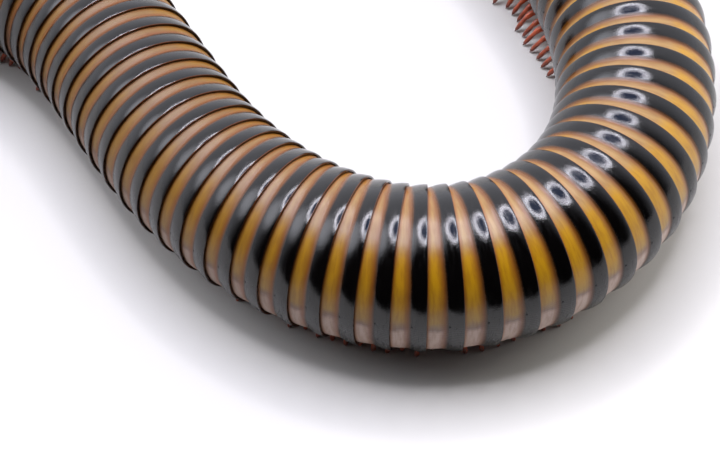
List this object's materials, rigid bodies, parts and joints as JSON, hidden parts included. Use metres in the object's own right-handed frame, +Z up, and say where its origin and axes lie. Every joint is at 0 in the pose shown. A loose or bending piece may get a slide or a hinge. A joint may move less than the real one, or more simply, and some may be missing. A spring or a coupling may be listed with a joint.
{
  "type": "tricolour millipede model",
  "caption": "Still, life-size model of a tricolour millipede walking round a bend, with banded black and amber rings, short legs, head, feelers and tail.",
  "frame": {"origin": "on the ground at the middle of the ground rectangle that the animal covers; the feet stand at Z = 0", "axes": "+Z up; +X from the head's side of the bend to the other side; +Y from the outside of the bend into it"},
  "size_m": [0.0822, 0.0582, 0.0138],
  "materials": {
    "ring_shell": "glossy hard shell, each ring amber in front and black behind",
    "head_shell": "glossy dark brown shell",
    "leg_shell": "satin red-brown shell of the legs and feelers",
    "eye_lens": "glossy black lenses in rows"
  },
  "bodies": {
    "root": {"body_length_1": "ring_shell", "body_length_2": "ring_shell", "body_length_3": "ring_shell", "body_length_4": "ring_shell", "body_length_5": "ring_shell", "body_length_6": "ring_shell", "body_length_7": "ring_shell", "body_length_8": "ring_shell", "body_length_9": "ring_shell", "neck_shield": "ring_shell", "head": "head_shell", "eye_left": "eye_lens", "eye_right": "eye_lens", "antenna_left": "leg_shell", "antenna_right": "leg_shell", "tail_ring": "ring_shell", "tail_valve_left": "head_shell", "tail_valve_right": "head_shell"}
  },
  "joints": []
}
